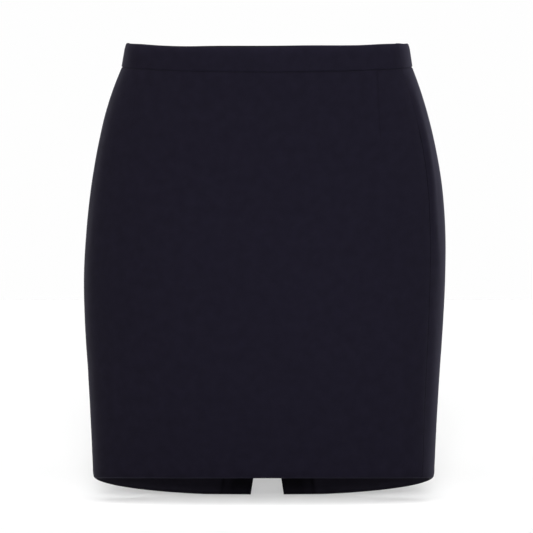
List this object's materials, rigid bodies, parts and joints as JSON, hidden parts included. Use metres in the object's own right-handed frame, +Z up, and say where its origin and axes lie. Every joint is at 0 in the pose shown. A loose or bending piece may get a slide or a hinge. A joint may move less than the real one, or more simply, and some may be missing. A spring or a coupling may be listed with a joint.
{
  "type": "pencil skirt",
  "caption": "Short pencil skirt in plain dark cloth, hollow as if worn: set-in waistband, waist darts, side seams, concealed centre-back zip with a hinged pull tab, and a back slit.",
  "frame": {"origin": "middle of the waist, about half way up the waistband, where the wearer's body holds the skirt", "axes": "+Z up through the waist, -Y towards the skirt's front, so +X is the wearer's left"},
  "size_m": [0.3743, 0.2526, 0.4755],
  "materials": {
    "navy_suiting": "smooth matte, fine close weave",
    "zip_tape": "matte woven tape",
    "nylon_coil": "satin black",
    "enamelled_zinc": "black enamel, semi-gloss"
  },
  "bodies": {
    "skirt": {"front_panel": "navy_suiting", "back_panel_left": "navy_suiting", "back_panel_right": "navy_suiting", "waistband_front": "navy_suiting", "waistband_back_left": "navy_suiting", "waistband_back_right": "navy_suiting", "zip_tape_left": "zip_tape", "zip_tape_right": "zip_tape", "zip_coil": "nylon_coil", "zip_bottom_stop": "nylon_coil", "zip_slider": "enamelled_zinc"},
    "pull_tab": {"zip_pull_tab": "enamelled_zinc"}
  },
  "joints": [
    {"name": "pull_tab_hinge", "type": "hinge", "parent": "skirt", "child": "pull_tab", "pos_m": [0.00991, 0.11051, 0.005], "axis": [0.9991, -0.0418, 0], "range_deg": [0, 150]}
  ]
}
